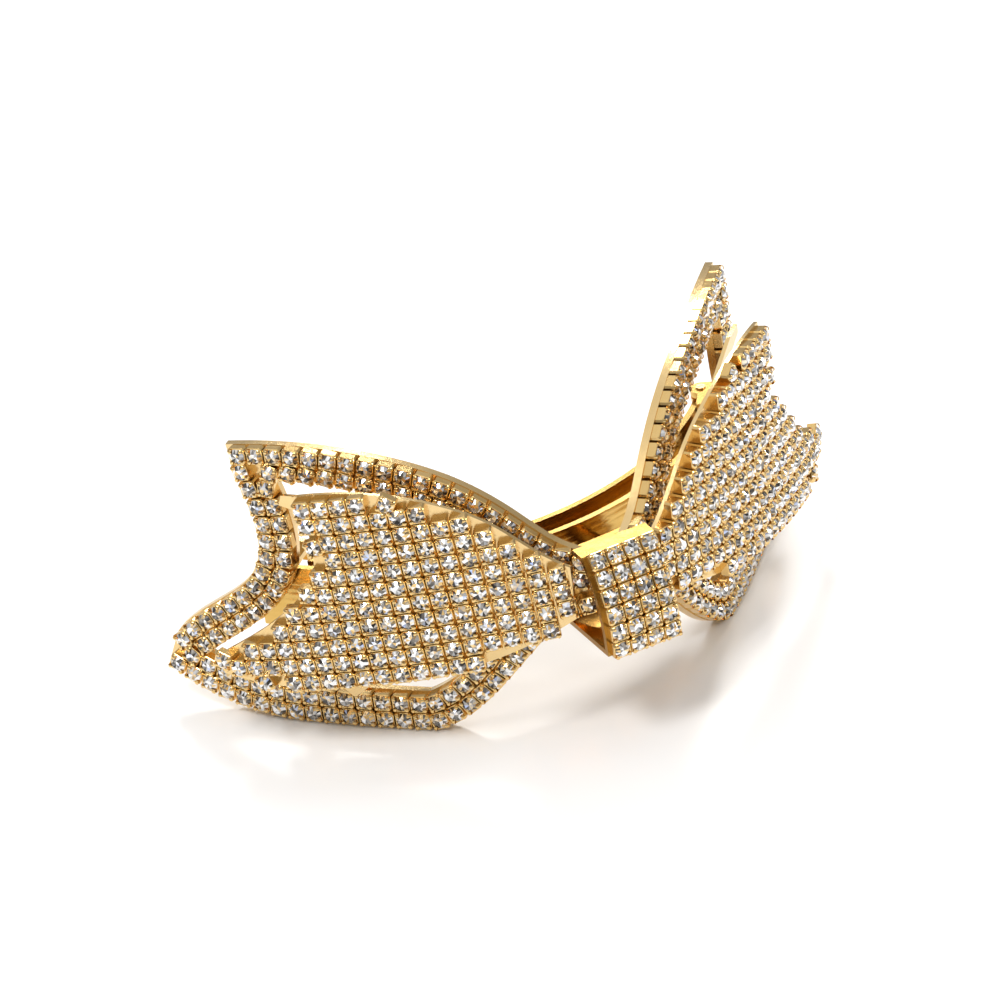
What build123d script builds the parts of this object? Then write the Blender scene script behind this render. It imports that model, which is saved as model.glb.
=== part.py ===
# Rhinestone bow on a curved barrette, standing on the lower edges of its two wings.
# Millimetres. +X along the bow (the catch end is at -X), +Y towards the wearer's head, +Z up.
# Origin: the middle of the footprint, on the table.
import math
import os
from build123d import *

# ---- stones and cups -------------------------------------------------------------------------
PITCH = 2.3              # from one stone to the next
STONE_D = 2.0            # girdle diameter
STONE_TABLE_D = 1.15     # flat top of the stone
STONE_CROWN = 0.40       # height over the girdle
STONE_PAVILION = 0.60    # depth below the girdle
CUP_H = 1.15             # cup height, which is also the girdle level over the plate
POCKET_CLEARANCE = 0.03  # stone to cup, radial
ROW_GAP = 0.06           # between neighbouring rows of the panel

# ---- wings -----------------------------------------------------------------------------------
WING_R = 140.0           # plan radius of the rim
WING_LENGTH = 60.5       # apex of the bow to the far lower corner
WING_SWEEP = 46.0        # each wing swept back from the X axis, degrees
WING_LEAN = 3.0          # top edge leaning back, degrees
WAIST_Z = 17.5           # height of the waist's middle over the table
RIM_T = 1.0              # rim plate
PANEL_T = 0.5            # panel plate
BAND_ROWS = 2            # rows of stones round the rim
FOOT_CUT = 0.08          # filed off the lower edges so that they stand flat
PANEL_GAP_ROOT = 2.9     # panel in front of the rim, at the knot
PANEL_GAP_MID = 6.6
PANEL_GAP_TIP = 7.8
PANEL_ROWS = 11
ROW_TILT = -7.0          # panel rows drop outwards, degrees
RIM_MARGIN = 0.42        # least distance of a stone from the rim's edge, in pitches
PANEL_MARGIN = 0.34      # and from the panel's edge
EDGE_MARGIN = 0.24       # and a single stone that fills a step
EDGE_CLOSEST = 0.905     # least distance between two stones' middles there
EDGE_INSETS = (0.28, 0.4, 0.55, 0.7, 0.9, 1.1)    # where single stones are tried along the panel's edge, in pitches

# Outlines of one wing in its own plane, in stone pitches from the apex: outwards, up.
RIM_ROOT_TOP = (1.3, 2.1)
RIM_TOP = [RIM_ROOT_TOP, (3.3, 2.8), (5.3, 4.4), (8.2, 6.3), (11.9, 7.5), (16.0, 8.0), (20.9, 7.7)]
RIM_NOTCH = [(20.9, 7.7), (20.1, 5.0), (19.6, 2.4), (20.1, 0.6), (22.0, -1.3), (25.5, -4.1)]
RIM_CORNER = [(25.5, -4.1), (26.3, -6.0)]
RIM_BOTTOM = [(26.3, -6.0), (22.9, -7.5), (18.8, -8.2)]
RIM_REST = [(18.8, -8.2), (10.8, -8.2)]
RIM_BOTTOM_IN = [(10.8, -8.2), (8.1, -6.6), (5.4, -3.8), (3.2, -1.8), (1.3, -1.2)]
RIM_STRETCHES = [RIM_TOP, RIM_NOTCH, RIM_CORNER, RIM_BOTTOM, RIM_REST, RIM_BOTTOM_IN]
WINDOW_TOP = [(3.3, 0.5), (6.25, 2.5), (8.2, 3.95), (10.4, 4.95), (13.0, 5.6), (15.5, 5.9), (18.2, 5.9)]
WINDOW_NOTCH = [(18.2, 5.9), (17.65, 3.8), (17.7, 1.05), (19.1, -1.5), (20.9, -3.0), (23.6, -5.05)]
WINDOW_BOTTOM = [(23.6, -5.05), (21.2, -5.8), (18.75, -6.1)]
WINDOW_REST = [(18.75, -6.1), (11.15, -6.1)]
WINDOW_BOTTOM_IN = [(11.15, -6.1), (8.95, -4.6), (6.7, -2.2), (5.3, -0.8), (3.3, 0.5)]
WINDOW_STRETCHES = [WINDOW_TOP, WINDOW_NOTCH, WINDOW_BOTTOM, WINDOW_REST, WINDOW_BOTTOM_IN]
PANEL_TOP = [(2.3, 1.9), (4.2, 3.4), (6.0, 5.0), (8.6, 6.3), (11.8, 7.0), (16.0, 6.8)]
PANEL_NOTCH = [(16.0, 6.8), (15.3, 4.3), (15.4, 2.4), (16.7, 0.5), (19.0, -1.4), (21.6, -3.1)]
PANEL_CORNER = [(21.6, -3.1), (21.3, -4.1)]
PANEL_BOTTOM = [(21.3, -4.1), (17.0, -4.5), (12.0, -4.1), (7.0, -3.1), (2.3, -1.1)]

STRUT_W, STRUT_T = 2.6, 0.5   # strips that carry the panel on the rim
STRUTS = [("upper_strut", (16.6, 5.9), (14.0, 4.3)), ("lower_strut", (15.0, -5.2), (12.4, -3.6))]
STRUT_ROOM = 9.0         # cleared in front of a plate where a strut meets it

# ---- knot ------------------------------------------------------------------------------------
KNOT_COLUMNS = 4
KNOT_ROWS = 6
KNOT_R = 18.0            # side radius of the knot's front
KNOT_FRONT = -5.2        # foremost level of the cup tops
KNOT_FOOT_ANGLE = -6.0   # where the rows begin on that radius, degrees
KNOT_RISE = 1.4          # middle of the knot's front above the waist's middle
KNOT_T = 0.7             # knot band
KNOT_LIP = 2.4           # upper flange, a short lip; the lower one reaches the bridge
KNOT_ROOM = 0.05         # round the wings where the band is notched for them
KNOT_SIDE = 0.3          # band wider than the stones, each side

# ---- bridge and barrette -----------------------------------------------------------------------
BRIDGE_Y = 10.3          # front face of the bridge plate, at the middle
BRIDGE_R = 60.0
BRIDGE_HALF = 10.5       # half its length
BRIDGE_T = 0.8
BRIDGE_Z0, BRIDGE_Z1 = -5.6, 1.4    # lower and upper edge, from the waist's middle
POST_D = 3.0
POST_X = 5.0
BASE_Y = 16.6            # front face of the barrette base, at the middle
BASE_R = 38.0            # its radius
BASE_T = 0.8
BASE_W = 8.6             # width, along Z
BASE_DROP = 3.6          # middle of the barrette below the waist's middle
BASE_ANGLE = 58.0        # half its arc, degrees
END_HOLE_D = 1.8
END_HOLE_ANGLE = 48.6
ARM_T = 0.8
ARM_W = 6.4
ARM_GAP = 4.6            # base to arm, at the middle
ARM_END_ANGLE = 61.0     # where the tongue ends, degrees
TONGUE_W = 4.2
TONGUE_L = 7.4
PIN_D = 1.2
PIN_BORE_CLEARANCE = 0.05
BARREL_D = 2.7
PIN_SETBACK = 1.8        # pin axis behind the base's back face
LUG_T = 0.8
LUG_GAP = 0.25
SPRING_T = 0.35
SPRING_W = 4.6
SPRING_BOW = 2.3         # base to spring, at the middle
SPRING_ANGLE = 45.5
RIVET_D = 1.4
RIVET_HEAD_D = 2.4
RIVET_HEAD_T = 0.35
RIVET_ANGLE = 43.0
RIVET_SEAT = 0.5         # rivet head behind the base and the spring
EAR_L = 3.4              # catch ear along the base
EAR_T = 0.7
EAR_REACH = 3.4          # ear behind the base
HOOK = 1.0               # hook over the tongue
EAR_SPREAD = 9.0         # ears stand open by this angle, degrees
EAR_PIN_D = 0.7

FIT = 0.02               # a pin or a rivet in its hole, radial
SPAN = 60.0              # longer than any piece, for cutting


# ---- curved sheets -----------------------------------------------------------------------------
class Sheet:
    """A curved sheet seen from above: an arc that bulges to the front (-Y), with a vertical axis."""

    def __init__(self, cx, cy, radius):
        self.cx, self.cy, self.radius = cx, cy, radius

    @staticmethod
    def through(a, b, c):
        """The arc through three points."""
        d = 2 * (a[0] * (b[1] - c[1]) + b[0] * (c[1] - a[1]) + c[0] * (a[1] - b[1]))
        sa, sb, sc = (p[0] ** 2 + p[1] ** 2 for p in (a, b, c))
        cx = (sa * (b[1] - c[1]) + sb * (c[1] - a[1]) + sc * (a[1] - b[1])) / d
        cy = (sa * (c[0] - b[0]) + sb * (a[0] - c[0]) + sc * (b[0] - a[0])) / d
        return Sheet(cx, cy, math.dist((cx, cy), a))

    def y(self, x, depth=0.0):
        """Where the sheet lies at x, at a depth behind its front."""
        return self.cy - math.sqrt((self.radius - depth) ** 2 - (x - self.cx) ** 2)

    def plane(self, x, z):
        """A plane on the sheet's front, facing forwards along its normal."""
        front = (x - self.cx, self.y(x) - self.cy)
        size = math.hypot(*front)
        normal = (front[0] / size, front[1] / size, 0)
        return Plane(origin=(x, self.y(x), z), x_dir=(0, 0, 1), z_dir=normal)

    def layer(self, depth0, depth1, z0=-SPAN, z1=SPAN):
        """The ring between two depths behind the front, over a height."""
        ring = Circle(self.radius - depth0) - Circle(self.radius - depth1)
        front_half = Pos(0, -self.radius) * Rectangle(3 * self.radius, 1.6 * self.radius)
        return Pos(self.cx, self.cy, z0) * extrude(ring & front_half, z1 - z0)


def curve(points):
    """A smooth edge through points given in pitches, in the wing's upright plane."""
    places = [(x * PITCH, 0, z * PITCH) for x, z in points]
    return Line(*places) if len(places) == 2 else Spline(*places)


def outline(*stretches):
    """A face from stretches that follow one another, closed with a straight end."""
    edges = [curve(s) for s in stretches]
    gap = (edges[-1] @ 1 - edges[0] @ 0).length
    if gap > FIT:
        edges.append(Line(edges[-1] @ 1, edges[0] @ 0))
    return make_face(edges)


def prism(face):
    return extrude(face, SPAN, dir=(0, 1, 0), both=True)


def polygon(*points):
    places = [(x * PITCH, 0, z * PITCH) for x, z in points]
    return make_face(Polyline(*places, close=True))


def sampled(points, count=240):
    """Points along a stretch, evenly by length."""
    edge = curve(points)
    return [(p.X, p.Z) for p in (edge @ (i / count) for i in range(count + 1))]


def offset_row(points, inset):
    """The row that runs beside a stretch, on the right hand of its direction."""
    path = sampled(points)
    row = []
    for before, after in zip(path, path[1:]):
        dx, dz = after[0] - before[0], after[1] - before[1]
        size = math.hypot(dx, dz)
        row.append(((before[0] + after[0]) / 2 + inset * dz / size, (before[1] + after[1]) / 2 - inset * dx / size))
    return row


def inside(point, border):
    x, z = point
    hit = False
    for (x0, z0), (x1, z1) in zip(border, border[1:] + border[:1]):
        if (z0 > z) != (z1 > z) and x < x0 + (z - z0) * (x1 - x0) / (z1 - z0):
            hit = not hit
    return hit


def edge_distance(point, border):
    return min(math.dist(point, q) for q in border)


def spaced(row, border, taken, margin, closest=0.94):
    """Stone places one pitch apart along a row, clear of the border and of the stones already placed."""
    places = []
    travelled = PITCH / 2
    for before, after in zip(row, row[1:]):
        travelled += math.dist(before, after)
        if travelled < PITCH:
            continue
        clear = all(math.dist(after, q) > closest * PITCH for q in taken + places)
        if clear and inside(after, border) and edge_distance(after, border) > margin:
            places.append(after)
            travelled = 0.0
    return places


# ---- stones and pockets --------------------------------------------------------------------------
def stone():
    """One cut stone, girdle at z = 0."""
    r, table = STONE_D / 2, STONE_TABLE_D / 2
    profile = Polyline((0, -STONE_PAVILION), (r, 0), (table, STONE_CROWN), (0, STONE_CROWN), close=True)
    return revolve(make_face(Plane.XZ * profile), Axis.Z)


def pocket():
    depth = STONE_PAVILION + 0.15
    return Pos(0, 0, -depth / 2) * Cylinder(STONE_D / 2 + POCKET_CLEARANCE, depth)


def set_on(sheet, places, shape):
    return [sheet.plane(x, z).location * shape for x, z in places]


# ---- wing ----------------------------------------------------------------------------------------
def rim_sheet():
    half = WING_LENGTH / 2
    return Sheet(half, math.sqrt(WING_R ** 2 - half ** 2), WING_R)


def panel_sheet():
    rim = rim_sheet()
    stations = ((2.3, PANEL_GAP_ROOT), (11.5, PANEL_GAP_MID), (21.5, PANEL_GAP_TIP))
    return Sheet.through(*[(x * PITCH, rim.y(x * PITCH) - gap) for x, gap in stations])


def rim_border():
    return sum((sampled(s) for s in RIM_STRETCHES), [])


def panel_border():
    return sum((sampled(s) for s in (PANEL_TOP, PANEL_NOTCH, PANEL_CORNER, PANEL_BOTTOM)), [])


def rim_places():
    """Stones of the rim's three strips: along the top, the notch and the bottom."""
    border = rim_border()
    strips = ([RIM_TOP], [RIM_NOTCH], [RIM_BOTTOM, RIM_REST, RIM_BOTTOM_IN])
    taken = []
    for line in range(BAND_ROWS):
        for stretches in strips:
            row = sum((offset_row(s, (line + 0.5) * PITCH) for s in stretches), [])
            taken += spaced(row, border, taken, RIM_MARGIN * PITCH)
    return taken


def panel_places():
    """Stones of the panel, row by row, on a square grid that is tilted by ROW_TILT."""
    border = panel_border()
    tilt = math.radians(ROW_TILT)
    rows = []
    for line in range(PANEL_ROWS):
        across = (line - PANEL_ROWS / 2 + 0.5) * PITCH + panel_middle()
        row = []
        for step in range(0, 26):
            along = (step + 0.5) * PITCH
            place = (along * math.cos(tilt) - across * math.sin(tilt),
                     along * math.sin(tilt) + across * math.cos(tilt))
            if inside(place, border) and edge_distance(place, border) > PANEL_MARGIN * PITCH:
                row.append(place)
        rows.append(row)
    return rows + [edge_places(sum(rows, []), border)]


def edge_places(taken, border):
    """Single stones that fill the steps between the square grid and the panel's curved edge."""
    extra = []
    for inset in EDGE_INSETS:
        for stretch in (PANEL_TOP, PANEL_NOTCH, PANEL_BOTTOM):
            row = offset_row(stretch, inset * PITCH)
            extra += spaced(row, border, taken + extra, EDGE_MARGIN * PITCH, EDGE_CLOSEST)
    return extra


def across_of(point):
    tilt = math.radians(ROW_TILT)
    return point[1] * math.cos(tilt) - point[0] * math.sin(tilt)


def panel_middle():
    """Middle of the panel, measured across its rows."""
    reach = [across_of(p) for p in panel_border()]
    return (min(reach) + max(reach)) / 2


def row_face(line):
    """A strip one pitch wide across the whole panel."""
    low = (line - PANEL_ROWS / 2) * PITCH + panel_middle()
    strip = Pos(30 * PITCH / 2, low + PITCH / 2) * Rectangle(40 * PITCH, PITCH - ROW_GAP)
    return Plane.XZ * (Rot(0, 0, ROW_TILT) * strip)


def strut(a, b, width, thickness, *cutters):
    """A flat strip of metal between two points, trimmed where it meets its neighbours."""
    a, b = Vector(*a), Vector(*b)
    frame = Plane(origin=(a + b) / 2, x_dir=(b - a).normalized(), z_dir=Vector(0, 1, 0.2))
    bar = frame.location * Box((b - a).length, width, thickness)
    for cutter in cutters:
        bar -= cutter
    return largest(bar)


def largest(shape):
    return max(shape.solids(), key=lambda s: s.volume)


def wing_pieces():
    """Every piece of the right wing, in the wing's own frame."""
    pieces = {}
    rim, panel = rim_sheet(), panel_sheet()
    outer = prism(outline(*RIM_STRETCHES))
    window = prism(outline(*WINDOW_STRETCHES))
    pieces["rim_plate"] = (rim.layer(CUP_H, CUP_H + RIM_T) & outer) - window

    cup_ring = (rim.layer(0, CUP_H) & outer) - window
    places = rim_places()
    pockets = set_on(rim, places, pocket())
    cup_ring = cup_ring - pockets
    pivot = (11.0, 0.4)
    upper = (pivot[0] + 3 * (20.9 - pivot[0]), pivot[1] + 3 * (7.3 - pivot[1]))
    lower = (pivot[0] + 3 * (25.9 - pivot[0]), pivot[1] + 3 * (-4.8 - pivot[1]))
    sectors = {
        "rim_top_cups": polygon(pivot, (-20, 0.4), (-20, 30), upper),
        "rim_notch_cups": polygon(pivot, upper, lower),
        "rim_bottom_cups": polygon(pivot, lower, (lower[0], -30), (-20, -30), (-20, 0.4)),
    }
    for name, sector in sectors.items():
        pieces[name] = largest(cup_ring & prism(sector))
    pieces["rim_stones"] = set_on(rim, places, stone())

    panel_prism = prism(outline(PANEL_TOP, PANEL_NOTCH, PANEL_CORNER, PANEL_BOTTOM))
    pieces["panel_plate"] = panel.layer(CUP_H, CUP_H + PANEL_T) & panel_prism
    cup_panel = panel.layer(0, CUP_H) & panel_prism
    places = sum(panel_places(), [])
    for line in range(PANEL_ROWS):
        middle = (line + 0.5 - PANEL_ROWS / 2) * PITCH + panel_middle()
        near = [place for place in places if abs(across_of(place) - middle) < PITCH]
        strip = (cup_panel & prism(row_face(line))) - set_on(panel, near, pocket())
        pieces[f"panel_row_{line + 1:02d}"] = largest(strip)
    pieces["panel_stones"] = set_on(panel, places, stone())

    for name, (foot_u, foot_v), (head_u, head_v) in STRUTS:
        foot = (foot_u * PITCH, rim.y(foot_u * PITCH, CUP_H + RIM_T / 2), foot_v * PITCH)
        head = (head_u * PITCH, panel.y(head_u * PITCH, CUP_H + PANEL_T + STRUT_T / 4), head_v * PITCH)
        pieces[name] = strut(foot, head, STRUT_W, STRUT_T, (rim.layer(-STRUT_ROOM, CUP_H + RIM_T) & outer) - window,
                             panel.layer(-STRUT_ROOM, CUP_H + PANEL_T) & panel_prism)
    return pieces


def wing_room():
    """The space a wing's rim takes up, with a little room round it."""
    face = outline(*RIM_STRETCHES)
    reach = prism(Pos(0, 0, KNOT_ROOM) * face) + prism(Pos(0, 0, -KNOT_ROOM) * face)
    return placed_wing(rim_sheet().layer(-KNOT_ROOM, CUP_H + RIM_T + KNOT_ROOM) & reach)


def placed_wing(shape):
    return Pos(0, 0, WAIST_Z) * Rot(0, 0, WING_SWEEP) * Rot(-WING_LEAN, 0, 0) * shape


# ---- knot ----------------------------------------------------------------------------------------
def knot_centre():
    """Middle of the knot's front radius, as (y, z)."""
    half_width = KNOT_ROWS * PITCH / 2
    middle_angle = math.radians(KNOT_FOOT_ANGLE) + half_width / KNOT_R
    return KNOT_FRONT + KNOT_R, WAIST_Z + KNOT_RISE - KNOT_R * math.sin(middle_angle)


def knot_plane(across, along):
    """A plane on the knot's front: across in X, along the front radius from its foot."""
    y, z = knot_centre()
    angle = math.radians(KNOT_FOOT_ANGLE) + along / KNOT_R
    normal = (0, -math.cos(angle), math.sin(angle))
    return Plane(origin=(across, y - KNOT_R * math.cos(angle), z + KNOT_R * math.sin(angle)),
                 x_dir=(1, 0, 0), z_dir=normal)


def knot_arc(depth, angle0, angle1):
    """An arc of the knot's side view at a depth behind its front."""
    y, z = knot_centre()
    r = KNOT_R - depth
    ends = [(0, y - r * math.cos(math.radians(a)), z + r * math.sin(math.radians(a)))
            for a in (angle0, (angle0 + angle1) / 2, angle1)]
    return ThreePointArc(*ends)


def knot_slab(depth0, depth1, width):
    """A curved slab behind the knot's front, over the height of its rows."""
    foot = KNOT_FOOT_ANGLE
    head = foot + math.degrees(KNOT_ROWS * PITCH / KNOT_R)
    front, back = knot_arc(depth0, foot, head), knot_arc(depth1, foot, head)
    side = make_face([front, Line(front @ 1, back @ 1), back, Line(back @ 0, front @ 0)])
    return extrude(side, width / 2, dir=(1, 0, 0), both=True)


def knot_pieces():
    width = KNOT_COLUMNS * PITCH
    cups = knot_slab(0, CUP_H, width)
    places = []
    for row in range(KNOT_ROWS):
        for column in range(KNOT_COLUMNS):
            across = (column - (KNOT_COLUMNS - 1) / 2) * PITCH
            places.append(knot_plane(across, (row + 0.5) * PITCH).location)
    stones = [place * stone() for place in places]
    cups -= [place * pocket() for place in places]

    plate = knot_slab(CUP_H, CUP_H + KNOT_T, width + 2 * KNOT_SIDE)
    box = plate.bounding_box()
    back = bridge_sheet().y(width / 2 + KNOT_SIDE)
    cover = bridge_sheet().layer(0, 30)
    flanges = []
    top = (box.max.Z - KNOT_T, knot_top_y(), knot_top_y() + KNOT_LIP)
    bottom = (box.min.Z, box.min.Y + KNOT_T / 2, back + 1)
    for level, start, end in (top, bottom):
        flange = Pos(0, (start + end) / 2, level + KNOT_T / 2) * Box(width + 2 * KNOT_SIDE, end - start, KNOT_T)
        flanges.append(flange - cover)
    band = plate + flanges[0] + flanges[1]
    room = wing_room()
    band -= [room, mirror(room, about=Plane.YZ)]
    return {"knot_band": band, "knot_cups": cups, "knot_stones": stones}


def knot_top_y():
    """Where the knot's front plate ends, so that its upper flange starts there."""
    y, _ = knot_centre()
    head = math.radians(KNOT_FOOT_ANGLE) + KNOT_ROWS * PITCH / KNOT_R
    return y - (KNOT_R - CUP_H) * math.cos(head)


# ---- bridge --------------------------------------------------------------------------------------
def bridge_sheet():
    return Sheet(0, BRIDGE_Y + BRIDGE_R, BRIDGE_R)


def base_sheet():
    return Sheet(0, BASE_Y + BASE_R, BASE_R)


def bridge_pieces():
    low, high = WAIST_Z + BRIDGE_Z0, WAIST_Z + BRIDGE_Z1
    bounds = Pos(0, BRIDGE_Y, (low + high) / 2) * Box(2 * BRIDGE_HALF, SPAN, high - low)
    plate = bridge_sheet().layer(0, BRIDGE_T, low, high) & bounds
    posts = []
    for side in (-1, 1):
        post = Pos(side * POST_X, (BRIDGE_Y + BASE_Y) / 2, barrette_z()) * Rot(90, 0, 0) * Cylinder(
            POST_D / 2, BASE_Y - BRIDGE_Y + 4)
        post -= bridge_sheet().layer(-20, BRIDGE_T)
        post -= base_sheet().layer(0, 20)
        posts.append(largest(post))
    return {"bridge_plate": plate, "bridge_posts": posts}


# ---- barrette ------------------------------------------------------------------------------------
def barrette_z():
    return WAIST_Z - BASE_DROP


def arc_point(angle, depth):
    """A point of the barrette's plan at an angle from the middle and a depth behind its front."""
    r = BASE_R - depth
    a = math.radians(angle)
    return r * math.sin(a), BASE_Y + BASE_R - r * math.cos(a)


def arc_frame(angle, depth):
    """At that point: x outwards along the arc, y towards the middle of the arc (the head), z up."""
    x, y = arc_point(angle, depth)
    a = math.radians(angle)
    side = 1 if angle > 0 else -1
    tangent = (side * math.cos(a), side * math.sin(a), 0)
    up = (0, 0, side)
    return Plane(origin=(x, y, barrette_z()), x_dir=tangent, z_dir=up)


def wedge(angle0, angle1, radius=2 * BASE_R):
    """A slice of plan between two angles about the barrette's centre, full height."""
    centre = (0, BASE_Y + BASE_R)
    rim = [(centre[0] + radius * math.sin(math.radians(a)), centre[1] - radius * math.cos(math.radians(a)))
           for a in (angle0, (angle0 + angle1) / 2, angle1)]
    slice_face = make_face(Polyline(centre, *rim, close=True))
    return Pos(0, 0, -SPAN / 2) * extrude(slice_face, 2 * SPAN)


def strip(sheet, thickness, width, angle0, angle1):
    z = barrette_z()
    return sheet.layer(0, thickness, z - width / 2, z + width / 2) & wedge(angle0, angle1)


def pin_frame():
    return arc_frame(BASE_ANGLE, BASE_T + PIN_SETBACK)


def pin_cylinder(radius, height):
    return pin_frame().location * Cylinder(radius, height)


def hole_through(angle, diameter):
    return arc_frame(angle, 0).location * Rot(90, 0, 0) * Cylinder(diameter / 2, 6)


def rivet_places():
    return [-RIVET_ANGLE, RIVET_ANGLE]


def base_piece():
    base = strip(base_sheet(), BASE_T, BASE_W, -BASE_ANGLE, BASE_ANGLE)
    for side in (-1, 1):
        lug_z = side * (BASE_W / 2 - LUG_T / 2)
        knuckle = pin_frame().location * Pos(0, 0, lug_z) * Cylinder(BARREL_D / 2, LUG_T)
        web = pin_frame().location * Pos(-BARREL_D / 2, -PIN_SETBACK / 2, lug_z) * Box(
            2 * BARREL_D, PIN_SETBACK + 0.6, LUG_T)
        web -= base_sheet().layer(-20, BASE_T / 2)
        base += knuckle + web
    base -= pin_cylinder(PIN_D / 2 + FIT, 2 * BASE_W)
    for angle in (-END_HOLE_ANGLE, END_HOLE_ANGLE):
        base -= hole_through(angle, END_HOLE_D)
    for angle in rivet_places():
        base -= hole_through(angle, RIVET_D + 2 * FIT)
    for side in (-1, 1):
        base += ear_bracket(side)
    return base


def spring_sheet():
    ends = arc_point(SPRING_ANGLE, BASE_T)
    middle = (0, BASE_Y + BASE_T + SPRING_BOW)
    return Sheet.through((-ends[0], ends[1]), middle, ends)


def spring_piece():
    """A bowed strip whose two ends lie on the base's back and are riveted there."""
    spring = strip(spring_sheet(), SPRING_T, SPRING_W, -SPRING_ANGLE, SPRING_ANGLE)
    for angle in rivet_places():
        spring -= hole_through(angle, RIVET_D + 2 * FIT)
    return spring


def rivet_pieces():
    rivets = []
    for angle in rivet_places():
        frame = arc_frame(angle, 0).location
        seat = BASE_T + SPRING_T + RIVET_SEAT
        shank = frame * Pos(0, seat / 2, 0) * Rot(90, 0, 0) * Cylinder(RIVET_D / 2, seat + 0.1)
        head = frame * Pos(0, seat + RIVET_HEAD_T / 2, 0) * Rot(90, 0, 0) * Cylinder(RIVET_HEAD_D / 2, RIVET_HEAD_T)
        rivets.append(shank + head)
    return rivets


def arm_sheet():
    hinge = arc_point(BASE_ANGLE, BASE_T + PIN_SETBACK)
    tip = arc_point(-ARM_END_ANGLE, BASE_T + 1.7)
    middle = (0, BASE_Y + BASE_T + ARM_GAP)
    return Sheet.through(tip, middle, hinge)


def arm_piece():
    arm = strip(arm_sheet(), ARM_T, ARM_W, -ARM_END_ANGLE, BASE_ANGLE)
    tongue_start = ARM_END_ANGLE - math.degrees(TONGUE_L / BASE_R)
    for side in (-1, 1):
        shoulder = Pos(0, 0, barrette_z() + side * (TONGUE_W / 2 + 5)) * Box(4 * BASE_R, 4 * BASE_R, 10)
        arm -= shoulder & wedge(-ARM_END_ANGLE - 3, -tongue_start)
    barrel_length = BASE_W - 2 * LUG_T - 2 * LUG_GAP
    arm += pin_cylinder(BARREL_D / 2, barrel_length)
    arm -= pin_cylinder(PIN_D / 2 + PIN_BORE_CLEARANCE, 2 * BASE_W)
    return largest(arm)


# ---- catch ears ----------------------------------------------------------------------------------
def ear_pivot():
    """The ear's pivot in the catch frame: back from the base's front, and out from its middle."""
    return BASE_T + EAR_PIN_D, TONGUE_W / 2 + 1.0


def catch_frame():
    return arc_frame(-(BASE_ANGLE - 4.0), 0)


def ear_bracket(side):
    """Two small eyes on the base that carry one ear's pivot."""
    back, out = ear_pivot()
    eyes = []
    for end in (-1, 1):
        eye = Pos(end * (EAR_L / 2 + 0.35), back, side * out) * Rot(0, 90, 0) * Cylinder(EAR_PIN_D / 2 + 0.35, 0.5)
        foot = Pos(end * (EAR_L / 2 + 0.35), back / 2, side * out) * Box(0.5, back, EAR_PIN_D + 0.7)
        hole = Pos(end * (EAR_L / 2 + 0.35), back, side * out) * Rot(0, 90, 0) * Cylinder(
            EAR_PIN_D / 2 + PIN_BORE_CLEARANCE, 2)
        eyes.append(eye + foot - hole)
    pair = catch_frame().location * (eyes[0] + eyes[1])
    return pair - base_sheet().layer(-20, BASE_T / 2)


def ear_piece(side):
    """A sprung ear: a small plate on a pivot, with a hook that closes behind the arm's tongue."""
    back, out = ear_pivot()
    pivot = Rot(0, 90, 0) * Cylinder(EAR_PIN_D / 2, EAR_L + 1.2)
    plate = Pos(0, EAR_REACH / 2, 0) * Box(EAR_L, EAR_REACH + EAR_T, EAR_T)
    hook = Pos(0, EAR_REACH + EAR_T / 2, -side * (HOOK / 2)) * Box(EAR_L, EAR_T, HOOK + EAR_T)
    thumb = Pos(0, EAR_REACH + EAR_T / 2, side * 0.8) * Box(EAR_L, EAR_T, 1.6)
    ear = Rot(side * EAR_SPREAD, 0, 0) * (pivot + plate + hook + thumb)
    return catch_frame().location * Pos(0, back, side * out) * ear


def barrette_pieces():
    return {
        "barrette_base": base_piece(),
        "tension_spring": spring_piece(),
        "spring_rivets": rivet_pieces(),
        "clasp_arm": arm_piece(),
        "hinge_pin": pin_cylinder(PIN_D / 2, BASE_W + 0.5),
        "catch_ear_upper": ear_piece(-1),
        "catch_ear_lower": ear_piece(1),
    }


# ---- the whole clip ------------------------------------------------------------------------------
def as_shape(piece):
    """One solid, or a group of separate solids, as a single shape."""
    parts = piece if isinstance(piece, list) else [piece]
    solids = [solid for part in parts for solid in part.solids()]
    return solids[0] if len(solids) == 1 else Compound(children=solids)


def filed_flat(piece, level):
    """A piece of the rim with a level flat along its lowest edge."""
    return largest(piece - Pos(0, 0, level - SPAN / 2) * Box(4 * SPAN, 4 * SPAN, SPAN))


def all_pieces():
    pieces = {}
    for name, piece in wing_pieces().items():
        left = mirror(placed_wing(as_shape(piece)), about=Plane.YZ)
        pieces["left_" + name] = left
        pieces["right_" + name] = mirror(left, about=Plane.YZ)
    level = pieces["left_rim_plate"].bounding_box().min.Z + FOOT_CUT
    for name in pieces:
        if name.endswith(("rim_plate", "rim_bottom_cups")):
            pieces[name] = filed_flat(pieces[name], level)
    for group in (knot_pieces(), bridge_pieces(), barrette_pieces()):
        for name, piece in group.items():
            pieces[name] = as_shape(piece)
    return pieces


def to_table(pieces):
    """The shift that puts the origin in the middle of the footprint, on the table."""
    boxes = [piece.bounding_box() for piece in pieces.values()]
    low_x, high_x = min(b.min.X for b in boxes), max(b.max.X for b in boxes)
    low_y, high_y = min(b.min.Y for b in boxes), max(b.max.Y for b in boxes)
    return Pos(-(low_x + high_x) / 2, -(low_y + high_y) / 2, -min(b.min.Z for b in boxes))


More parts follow.
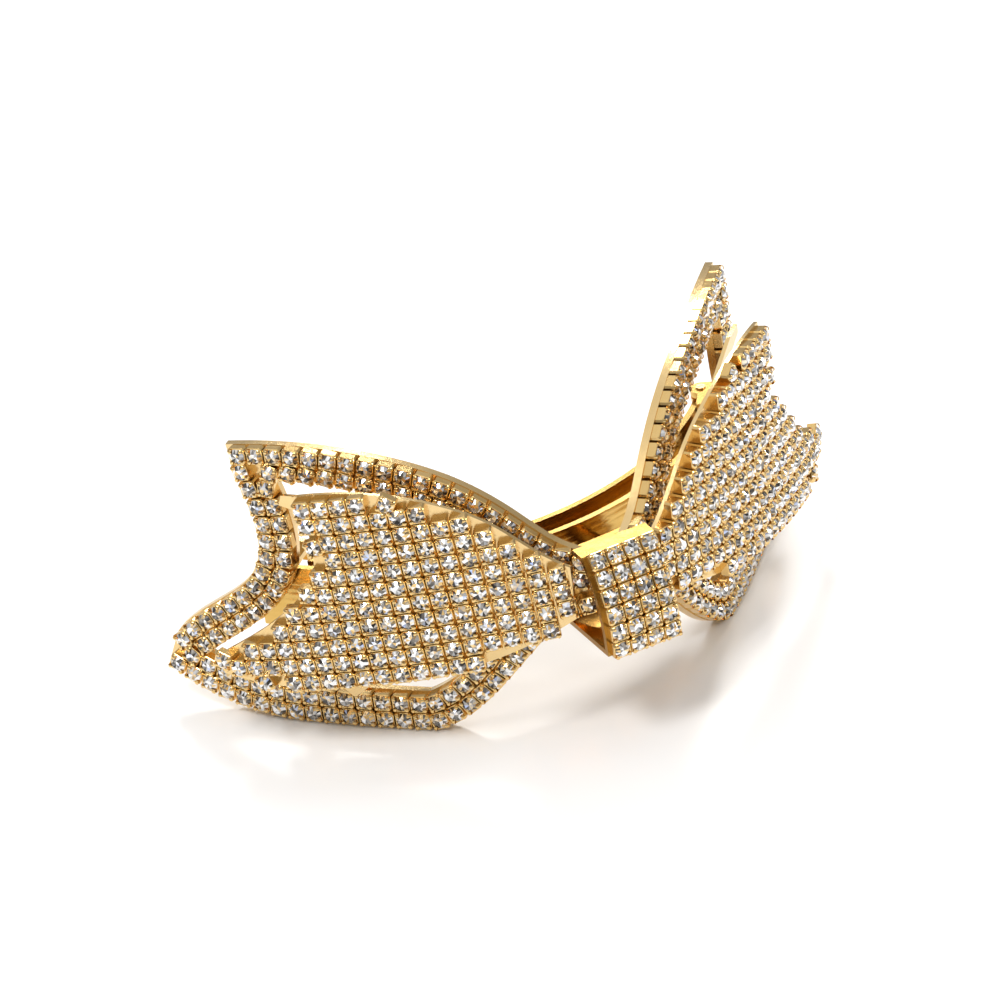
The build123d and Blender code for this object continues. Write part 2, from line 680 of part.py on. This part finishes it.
def main():
    os.makedirs("parts", exist_ok=True)
    pieces = all_pieces()
    shift = to_table(pieces)
    for name, piece in sorted(pieces.items()):
        export_step(shift * piece, f"parts/{name}.step")
    pin = shift * pin_frame().location
    print("shift", shift.position, "pin axis", pin.position)
    for side in (-1, 1):
        back, out = ear_pivot()
        ear = shift * catch_frame().location * Pos(0, back, side * out)
        print("ear", side, ear.position, "axis", Plane(ear).x_dir)


if __name__ == "__main__":
    main()
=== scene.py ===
"""A two-layer rhinestone bow on a gold barrette.

Cut stones in pronged cups, polished plating, a glossy table and studio lights.
Metres, in the frame of the CAD.
"""
import math

import bpy
import numpy as np
from mathutils import Matrix, Vector


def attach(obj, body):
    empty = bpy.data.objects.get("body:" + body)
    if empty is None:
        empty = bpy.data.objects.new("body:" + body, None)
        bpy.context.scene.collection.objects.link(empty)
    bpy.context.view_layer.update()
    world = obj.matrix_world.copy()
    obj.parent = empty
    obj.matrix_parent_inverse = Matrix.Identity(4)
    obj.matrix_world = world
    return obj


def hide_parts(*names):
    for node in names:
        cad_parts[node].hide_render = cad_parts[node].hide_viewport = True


MM = 0.001
PITCH = 2.3 * MM                 # from one stone to the next
GIRDLE_R = 1.0 * MM
UNDER_GIRDLE = (0.93, -0.18 * MM)    # radius in girdle radii and height of the ring under the girdle
STONE_TABLE_R, STONE_TABLE_Z, STONE_DIP_Z = 0.56 * MM, 0.38 * MM, 0.24 * MM
PAVILION = 0.6 * MM              # culet below the girdle
CUP_DEPTH = 1.15 * MM            # plate below the girdle
CUP_HALF, CUP_CUT = 1.105 * MM, 0.22 * MM    # half a cup's width, and the cut at its corners
CUP_LEVELS = (-0.10 * MM, -0.03 * MM, -0.06 * MM)    # wall top, bevel and the ring against the stone
CUP_BEVEL = 0.95
CUP_MOUTH_R = 0.985 * MM
# Stations of a claw in mm: distance from the stone's axis, height over the girdle, half width.
CLAW_STATIONS = ((1.42, -0.12, 0.27), (1.34, 0.24, 0.25), (1.10, 0.40, 0.20), (0.80, 0.33, 0.09))
CLAW_CROWN_IN, CLAW_CROWN_DOWN = 0.05 * MM, 0.10 * MM    # how far the claw's edges fall back from its ridge
MERGE = 1e7                      # points are merged on a grid of a ten-thousandth of a millimetre
NEIGHBOUR_SPREAD = 0.04          # tolerance on one pitch, when looking for a neighbour in the row
STONE_SPIN, STONE_JITTER, CUP_JITTER = 1.4, 0.07, 0.01
RIB_PITCH = 0.9 * MM             # between the ribs of the rolled strip
SIDES = ("left", "right")
STRIP_NODES = ("barrette_base", "tension_spring", "clasp_arm")
KNOT_NODES = ("knot_band", "bridge_plate", "bridge_posts")
TABLE_HALF, TABLE_LEVEL = 3.0, -0.00002


# ---- meshes --------------------------------------------------------------------------------------
def turned(angles, radius, height):
    """Points round a circle: (radius cos a, radius sin a, height) for each angle a."""
    angles = np.asarray(angles, float)
    level = np.full(angles.shape, float(height))
    return np.stack([radius * np.cos(angles), radius * np.sin(angles), level], axis=-1)


def ring_quads(low, high):
    """Quads between two rings of point numbers of equal length, each joined to its neighbour round
    the ring."""
    low, high = np.asarray(low), np.asarray(high)
    return np.stack([low, np.roll(low, -1), np.roll(high, -1), high], axis=-1)


def cut_stone():
    """A round stone, girdle at height 0. The crown falls from the table's octagon to the girdle's
    16 points, with 8 star facets and 16 girdle facets between them. The table dips to its middle in
    8 facets, as the facets of the pavilion show through it. Returns points and a list of face
    arrays."""
    eighth = np.arange(8) * math.pi / 4
    sixteenth = np.arange(16) * math.pi / 8
    points = np.concatenate([
        [[0.0, 0.0, STONE_DIP_Z]],
        turned(eighth, STONE_TABLE_R, STONE_TABLE_Z),
        turned(sixteenth, GIRDLE_R, 0.0),
        turned(sixteenth, UNDER_GIRDLE[0] * GIRDLE_R, UNDER_GIRDLE[1]),
    ])
    table = 1 + np.arange(8)
    after = np.roll(table, -1)
    girdle = 9 + np.arange(16)
    under = 25 + np.arange(16)
    mid = girdle[1::2]
    same = girdle[0::2]
    before_mid = np.roll(mid, 1)
    tables = np.stack([np.zeros(8, int), table, after], axis=-1)
    stars = np.stack([table, mid, after], axis=-1)
    girdle_a = np.stack([table, same, mid], axis=-1)
    girdle_b = np.stack([table, before_mid, same], axis=-1)
    return points, [np.concatenate([tables, stars, girdle_a, girdle_b]), ring_quads(under, girdle)]


def cup_and_prongs():
    """A square cup with cut corners and a closed bottom, from the plate up to the girdle, and four
    claws. A claw follows a path that rises at the corner and leans in over the stone; its width
    shrinks to the tip and its back is crowned. Returns points, a list of face arrays, and for each
    array whether it is shaded smooth."""
    half, cut = CUP_HALF, CUP_CUT
    wall_top, bevel, mouth = CUP_LEVELS
    square = np.array([(half, -half + cut), (half, half - cut), (half - cut, half), (-half + cut, half),
                       (-half, half - cut), (-half, -half + cut), (-half + cut, -half), (half - cut, -half)])
    around = np.arctan2(square[:, 1], square[:, 0])
    rings = [np.column_stack([square, np.full(8, -CUP_DEPTH)]),
             np.column_stack([square, np.full(8, wall_top)]),
             np.column_stack([square * CUP_BEVEL, np.full(8, bevel)]),
             turned(around, CUP_MOUTH_R, mouth)]
    ring = np.arange(8)
    walls = np.concatenate([ring_quads(ring + 8 * i, ring + 8 * (i + 1)) for i in range(3)])
    stations = np.array(CLAW_STATIONS) * MM
    across = np.array([-1.0, 0.0, 1.0])
    claw = np.zeros((4, 3, 3))
    claw[..., 0] = stations[:, None, 0] - CLAW_CROWN_IN * np.abs(across)
    claw[..., 1] = stations[:, None, 2] * across
    claw[..., 2] = stations[:, None, 1] - CLAW_CROWN_DOWN * np.abs(across)
    grid = np.arange(12).reshape(4, 3)
    back = np.stack([grid[:-1, :-1], grid[:-1, 1:], grid[1:, 1:], grid[1:, :-1]], axis=-1).reshape(-1, 4)
    claws, claw_faces = [], []
    for corner in range(4):
        a = math.pi / 4 + corner * math.pi / 2
        turn = np.array([[math.cos(a), math.sin(a), 0], [-math.sin(a), math.cos(a), 0], [0, 0, 1]])
        claws.append(claw.reshape(-1, 3) @ turn)
        claw_faces.append(back + 32 + 12 * corner)
    bottom = ring[::-1][None, :]
    return np.concatenate(rings + claws), [walls, bottom, np.concatenate(claw_faces)], [False, False, True]


def mesh_points(mesh):
    """The vertices of a mesh as an array, one row each."""
    points = np.empty(3 * len(mesh.vertices), np.float32)
    mesh.vertices.foreach_get("co", points)
    return points.reshape(-1, 3).astype(float)


def stone_seats(node):
    """Where the stones of a CAD node sit. Vertices joined by triangles make one stone. Its axis is
    the direction in which its points spread least, pointing from the deep culet to the flat table,
    and the girdle lies one pavilion depth above the culet. The rows run along the fourfold mean of
    the directions to neighbours one pitch away. Returns girdle centres and three unit directions
    for each stone."""
    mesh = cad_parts[node].data
    mesh.calc_loop_triangles()
    corners = np.empty(3 * len(mesh.loop_triangles), np.int32)
    mesh.loop_triangles.foreach_get("vertices", corners)
    points, merged = np.unique(np.round(mesh_points(mesh) * MERGE), axis=0, return_inverse=True)
    points = points / MERGE
    corners = merged.reshape(-1)[corners].reshape(-1, 3)
    label = np.arange(len(points))
    while True:
        lowest = label.copy()
        np.minimum.at(lowest, corners.ravel(), np.repeat(label[corners].min(axis=1), 3))
        if np.array_equal(lowest, label):
            break
        label = lowest
    _, stone = np.unique(label, return_inverse=True)
    stone = stone.reshape(-1)
    count = np.bincount(stone).astype(float)
    centre = np.stack([np.bincount(stone, points[:, k]) for k in range(3)], axis=-1) / count[:, None]
    away = points - centre[stone]
    spread = np.zeros((len(count), 3, 3))
    np.add.at(spread, stone, away[:, :, None] * away[:, None, :])
    axis = np.linalg.eigh(spread)[1][:, :, 0]
    height = np.einsum("ij,ij->i", away, axis[stone])
    top, low = np.full(len(count), -1.0), np.full(len(count), 1.0)
    np.maximum.at(top, stone, height)
    np.minimum.at(low, stone, height)
    flip = top > -low
    axis[flip] *= -1
    low = np.where(flip, -top, low)
    girdle = centre + axis * (low + PAVILION)[:, None]

    up = np.array([0.0, 0.0, 1.0]) - axis * axis[:, 2:3]
    up /= np.linalg.norm(up, axis=1, keepdims=True)
    side = np.cross(axis, up)
    step = girdle[None, :, :] - girdle[:, None, :]
    reach = np.linalg.norm(step, axis=2)
    near = np.exp(-((reach / PITCH - 1.0) / NEIGHBOUR_SPREAD) ** 2) * (reach > 0.5 * PITCH)
    angle = np.arctan2(np.einsum("ijk,ik->ij", step, side), np.einsum("ijk,ik->ij", step, up))
    turn = np.angle((near * np.exp(4j * angle)).sum(axis=1) + 1e-9) / 4
    along = up * np.cos(turn)[:, None] + side * np.sin(turn)[:, None]
    return girdle, along, np.cross(axis, along), axis


def piece_from(name, points, faces, body, material):
    """A named piece whose mesh holds these points and faces, riding on a body."""
    mesh = bpy.data.meshes.new(name)
    mesh.from_pydata(points.tolist(), [], [row for group in faces for row in group.tolist()])
    mesh.materials.append(material)
    piece = bpy.data.objects.new(name, mesh)
    bpy.context.scene.collection.objects.link(piece)
    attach(piece, body)
    return piece


def set_in_seats(name, seats, shape, material, spin=0.0, jitter=0.0, seed=1):
    """One shape repeated at every seat: point = seat + x along the row + y across it + z outwards,
    with the shape spun by a random angle and tipped by a small random slope. Each face gets a
    random value, which the crystal's colour ramp turns into a painted reflection."""
    girdle, along, across, axis = seats
    points, groups, smooth = shape
    rng = np.random.default_rng(seed)
    turn = spin * (rng.random(len(girdle)) - 0.5)
    c, s = np.cos(turn)[:, None], np.sin(turn)[:, None]
    tip = jitter * rng.standard_normal((len(girdle), 2))
    outwards = axis + tip[:, :1] * along + tip[:, 1:] * across
    outwards /= np.linalg.norm(outwards, axis=1, keepdims=True)
    x_dir, y_dir = along * c + across * s, across * c - along * s
    x, y, z = (points[None, :, k:k + 1] for k in range(3))
    placed = girdle[:, None, :] + x * x_dir[:, None, :] + y * y_dir[:, None, :] + z * outwards[:, None, :]
    shift = len(points) * np.arange(len(girdle))[:, None, None]
    faces = [(group[None] + shift).reshape(-1, group.shape[1]) for group in groups]
    piece = piece_from(name, placed.reshape(-1, 3), faces, "bow", material)
    mesh = piece.data
    flags = np.concatenate([np.full(len(g), f) for g, f in zip(faces, smooth)])
    mesh.polygons.foreach_set("use_smooth", flags)
    # A random value per face; on the stones it picks that facet's painted reflection colour.
    tone = mesh.attributes.new("facet_tone", "FLOAT", "FACE")
    tone.data.foreach_set("value", rng.random(len(mesh.polygons)).astype(np.float32))
    mesh.update()
    return piece


# ---- materials -----------------------------------------------------------------------------------
class Value:
    """A shader value: arithmetic on it adds Math nodes."""

    def __init__(self, finish, socket):
        self.finish = finish
        self.socket = socket

    def _math(self, operation, a, b):
        node = self.finish.node("ShaderNodeMath", {"operation": operation}, {0: a, 1: b})
        return Value(self.finish, node.outputs[0])

    def __add__(self, other):
        return self._math("ADD", self, other)

    def __radd__(self, other):
        return self._math("ADD", other, self)

    def __sub__(self, other):
        return self._math("SUBTRACT", self, other)

    def __rsub__(self, other):
        return self._math("SUBTRACT", other, self)

    def __mul__(self, other):
        return self._math("MULTIPLY", self, other)

    def __rmul__(self, other):
        return self._math("MULTIPLY", other, self)


class Finish:
    """One material, its nodes and its Principled shader."""

    def __init__(self, name):
        self.material = bpy.data.materials.new(name)
        self.material.use_nodes = True
        self.tree = self.material.node_tree
        self.shader = self.tree.nodes["Principled BSDF"]

    def node(self, kind, settings=None, inputs=None):
        """A new node. Its settings are set first, with a ramp's stops as (place, colour), then its
        inputs."""
        node = self.tree.nodes.new(kind)
        for name, value in (settings or {}).items():
            if name == "stops":
                ramp = node.color_ramp.elements
                while len(ramp) < len(value):
                    ramp.new(1.0)
                for stop, (place, colour) in zip(ramp, value):
                    stop.position, stop.color = place, (*colour, 1.0)
            else:
                setattr(node, name, value)
        for name, value in (inputs or {}).items():
            self.feed(node.inputs[name], value)
        return node

    def feed(self, socket, value):
        """A link into a socket, or a constant on it."""
        if isinstance(value, Value):
            self.tree.links.new(value.socket, socket)
        elif isinstance(value, bpy.types.NodeSocket):
            self.tree.links.new(value, socket)
        else:
            socket.default_value = value

    def place(self):
        return self.node("ShaderNodeTexCoord").outputs["Object"]

    def noise(self, scale, detail=2.0, roughness=0.5, vector=None):
        inputs = {"Vector": vector or self.place(), "Scale": scale, "Detail": detail, "Roughness": roughness}
        return Value(self, self.node("ShaderNodeTexNoise", None, inputs).outputs["Fac"])

    def sine(self, phase):
        return Value(self, self.node("ShaderNodeMath", {"operation": "SINE"}, {0: phase}).outputs[0])

    def attribute(self, name):
        return Value(self, self.node("ShaderNodeAttribute", {"attribute_name": name}).outputs["Fac"])

    def ramp(self, value, stops):
        return self.node("ShaderNodeValToRGB", {"stops": stops}, {0: value}).outputs["Color"]

    def mixed(self, factor, a, b):
        """Two colours mixed; of the Mix node's sockets, 6, 7 and output 2 are the colour ones."""
        return self.node("ShaderNodeMix", {"data_type": "RGBA"}, {0: factor, 6: a, 7: b}).outputs[2]

    def bump(self, height, strength, distance):
        inputs = {"Height": height, "Strength": strength, "Distance": distance}
        return self.node("ShaderNodeBump", None, inputs).outputs["Normal"]

    def set(self, **inputs):
        """The material, once these sockets of its shader are fed; an underscore stands for a
        space."""
        for name, value in inputs.items():
            self.feed(self.shader.inputs[name.replace("_", " ")], value)
        return self.material


def opaque(colour):
    return (*colour, 1.0)


def plating(name, pale, deep, base_roughness, wave_depth):
    """Polished gold plating: colour drifts between pale and deep, with faint polishing waves and
    rub marks."""
    finish = Finish(name)
    drift = finish.noise(240.0, 3.0)
    rub = finish.noise(2600.0, 2.0)
    waves = finish.noise(520.0, 2.0) * 0.8 + finish.noise(5200.0, 1.0) * 0.2
    return finish.set(Base_Color=finish.mixed(drift, opaque(pale), opaque(deep)), Metallic=1.0,
                      Roughness=rub * 0.14 + base_roughness, Normal=finish.bump(waves, 0.5, wave_depth))


def ribbed_plating(name, pale, deep):
    """Gold plating on rolled strip: a drawn grain and fine lengthwise ribs, sin(2 pi z /
    RIB_PITCH)."""
    finish = Finish(name)
    place = finish.place()
    drawn = {"Vector": place, "Scale": (60.0, 60.0, 2400.0)}
    grain = finish.noise(1.0, 3.0, 0.6, finish.node("ShaderNodeMapping", None, drawn).outputs[0])
    height = Value(finish, finish.node("ShaderNodeSeparateXYZ", None, {0: place}).outputs["Z"])
    rib = finish.sine(height * (2 * math.pi / RIB_PITCH))
    drift = finish.noise(170.0, 2.0)
    return finish.set(Base_Color=finish.mixed(drift, opaque(pale), opaque(deep)), Metallic=1.0,
                      Roughness=grain * 0.16 + 0.10,
                      Normal=finish.bump(rib * 0.22 + grain * 0.78, 0.40, 0.05 * MM))


# Painted reflections by a facet's random value: where the colour is, and the colour: dark, grey, gold as
# reflected from the cup, white, and a blue glint.
FACET_PAINTED_REFLECTIONS = (
    (0.0, (0.05, 0.045, 0.04)),
    (0.22, (0.22, 0.20, 0.18)),
    (0.40, (0.60, 0.57, 0.53)),
    (0.46, (0.80, 0.50, 0.17)),
    (0.56, (0.86, 0.62, 0.28)),
    (0.62, (0.98, 0.97, 0.96)),
    (0.95, (1.0, 1.0, 1.0)),
    (1.0, (0.45, 0.58, 1.0)),
)


def crystal():
    """Foiled cut glass. Each facet's colour is a painted reflection, picked at random: dark, grey,
    gold from the cup, white or, for a few, blue."""
    finish = Finish("crystal_painted_reflections")
    tone = finish.attribute("facet_tone")
    # The ramp paints reflections and glints into the facets' base colour.
    colour = finish.ramp(tone, FACET_PAINTED_REFLECTIONS)
    flaw = finish.noise(1800.0, 1.0)
    return finish.set(Base_Color=colour, Metallic=0.85, Roughness=flaw * 0.10 + 0.05, Coat_Weight=0.6,
                      Coat_Roughness=0.03, Normal=finish.bump(flaw, 0.35, 0.03 * MM))


def table_top():
    """Glossy white acrylic with a very faint mottle."""
    finish = Finish("white_table")
    mottle = finish.noise(9.0, 2.0)
    white = finish.mixed(mottle, opaque((0.97, 0.97, 0.97)), opaque((0.99, 0.99, 0.99)))
    return finish.set(Base_Color=white, Roughness=0.22, Specular_IOR_Level=0.5)


# ---- the whole scene -----------------------------------------------------------------------------
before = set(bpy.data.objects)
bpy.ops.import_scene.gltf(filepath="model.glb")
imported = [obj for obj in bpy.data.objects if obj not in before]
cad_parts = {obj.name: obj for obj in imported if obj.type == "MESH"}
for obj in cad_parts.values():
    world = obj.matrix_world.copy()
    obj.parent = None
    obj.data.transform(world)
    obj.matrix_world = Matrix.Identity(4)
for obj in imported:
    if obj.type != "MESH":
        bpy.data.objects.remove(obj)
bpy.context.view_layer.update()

cup_gold = plating("cup_plating", (0.88, 0.64, 0.30), (0.78, 0.50, 0.17), 0.10, 0.03 * MM)
plate_gold = plating("plate_plating", (0.84, 0.63, 0.33), (0.76, 0.52, 0.22), 0.14, 0.05 * MM)
# A much darker copy of the plate gold, as painted shade on the knot band, bridge plate and bridge posts,
# which lie deep between the wings.
knot_gold_painted_shade = plating("knot_plating_painted_shade", (0.46, 0.27, 0.07), (0.36, 0.19, 0.035), 0.16, 0.05 * MM)
clip_gold = ribbed_plating("strip_plating", (0.74, 0.50, 0.18), (0.58, 0.35, 0.08))
glass = crystal()

stone_points, stone_faces = cut_stone()
stone_shape = (stone_points, stone_faces, [False, False])
cup_shape = cup_and_prongs()


def set_group(group, cups, stone_seed, cup_seed):
    """The stones and settings of one group of CAD nodes, in place of its stones and its cups."""
    seats = stone_seats(f"{group}_stones")
    stones = set_in_seats(f"{group}_cut_stones", seats, stone_shape, glass,
                          spin=STONE_SPIN, jitter=STONE_JITTER, seed=stone_seed)
    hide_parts(f"{group}_stones")
    settings = set_in_seats(f"{group}_settings", seats, cup_shape, cup_gold,
                            jitter=CUP_JITTER, seed=cup_seed)
    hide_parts(*cups)


for side in SIDES:
    strips = [f"{side}_rim_{place}_cups" for place in ("top", "notch", "bottom")]
    rows = [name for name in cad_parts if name.startswith(f"{side}_panel_row_")]
    set_group(f"{side}_rim", strips, 11, 5)
    set_group(f"{side}_panel", rows, 11, 5)
set_group("knot", ["knot_cups"], 7, 8)

for name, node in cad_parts.items():
    if name.endswith("_stones"):
        material = glass
    elif name in STRIP_NODES:
        material = clip_gold
    # The knot parts get the darker gold with its painted shade.
    elif name in KNOT_NODES:
        material = knot_gold_painted_shade
    else:
        material = plate_gold
    node.data.materials.clear()
    node.data.materials.append(material)


# ---- table, lights and camera ----------------------------------------------------------------------
def flat_sheet(name, half, level):
    """A square sheet at one level."""
    mesh = bpy.data.meshes.new(name)
    corners = [(-half, -half, level), (half, -half, level), (half, half, level), (-half, half, level)]
    mesh.from_pydata(corners, [], [(0, 1, 2, 3)])
    sheet = bpy.data.objects.new(name, mesh)
    bpy.context.scene.collection.objects.link(sheet)
    return sheet


floor = flat_sheet("table_top", TABLE_HALF, TABLE_LEVEL)
floor.data.materials.append(table_top())


def softbox(name, place, aim, size, power, colour=(1.0, 1.0, 1.0)):
    """A square area light at a place, facing an aim."""
    light = bpy.data.lights.new(name, "AREA")
    light.shape, light.size, light.energy, light.color = "SQUARE", size, power, colour
    lamp = bpy.data.objects.new(name, light)
    lamp.location = place
    lamp.rotation_euler = (Vector(aim) - Vector(place)).to_track_quat("-Z", "Y").to_euler()
    bpy.context.scene.collection.objects.link(lamp)


softbox("key_softbox", (-0.35, -0.25, 0.75), (0, 0, 0.01), 0.22, 3.4)
softbox("back_softbox", (0.25, 0.55, 0.55), (0, 0, 0.01), 0.20, 2.6, (1.0, 0.98, 0.95))
softbox("right_softbox", (0.60, -0.30, 0.35), (0, 0, 0.02), 0.12, 1.0)

# Grey level of the surroundings by the Z of the direction: horizon and below, overhead, between.
SKY_LEVELS = ((0.0, 0.30), (1.0, 0.85), (0.45, 0.42))

world = bpy.data.worlds.new("studio")
bpy.context.scene.world = world
world.use_nodes = True
sky = world.node_tree
direction = sky.nodes.new("ShaderNodeTexCoord")
split = sky.nodes.new("ShaderNodeSeparateXYZ")
ramp = sky.nodes.new("ShaderNodeValToRGB")
sky.links.new(direction.outputs["Generated"], split.inputs[0])
sky.links.new(split.outputs["Z"], ramp.inputs[0])
stops = ramp.color_ramp.elements
for stop, (place, level) in zip((stops[0], stops[1], stops.new(0.5)), SKY_LEVELS):
    stop.position, stop.color = place, (level, level, level, 1.0)
background = sky.nodes["Background"]
sky.links.new(ramp.outputs[0], background.inputs["Color"])
background.inputs["Strength"].default_value = 1.0

CAMERA_AZIMUTH, CAMERA_HEIGHT, CAMERA_ROLL = -23.0, 29.84, -8.87
CAMERA_REACH = 1.2
CAMERA_AIM = Vector((-0.00475, 0.00214, 0.0234))
SENSOR_WIDTH, LENS = 36.0, 359.2
az, el, roll = (math.radians(v) for v in (CAMERA_AZIMUTH, CAMERA_HEIGHT, CAMERA_ROLL))
look = Vector((-math.sin(az) * math.cos(el), math.cos(az) * math.cos(el), -math.sin(el)))
right = look.cross(Vector((0, 0, 1))).normalized()
up = right.cross(look)
tilted_right = right * math.cos(roll) + up * math.sin(roll)
tilted_up = up * math.cos(roll) - right * math.sin(roll)
camera_data = bpy.data.cameras.new("camera")
camera_data.sensor_width, camera_data.lens = SENSOR_WIDTH, LENS
camera = bpy.data.objects.new("camera", camera_data)
turned_axes = Matrix((tilted_right, tilted_up, -look)).transposed().to_4x4()
camera.matrix_world = Matrix.Translation(CAMERA_AIM - look * CAMERA_REACH) @ turned_axes
camera_data.clip_start, camera_data.clip_end = 0.01, 20.0
bpy.context.scene.collection.objects.link(camera)
bpy.context.scene.camera = camera
bpy.context.scene.view_settings.view_transform = "Standard"
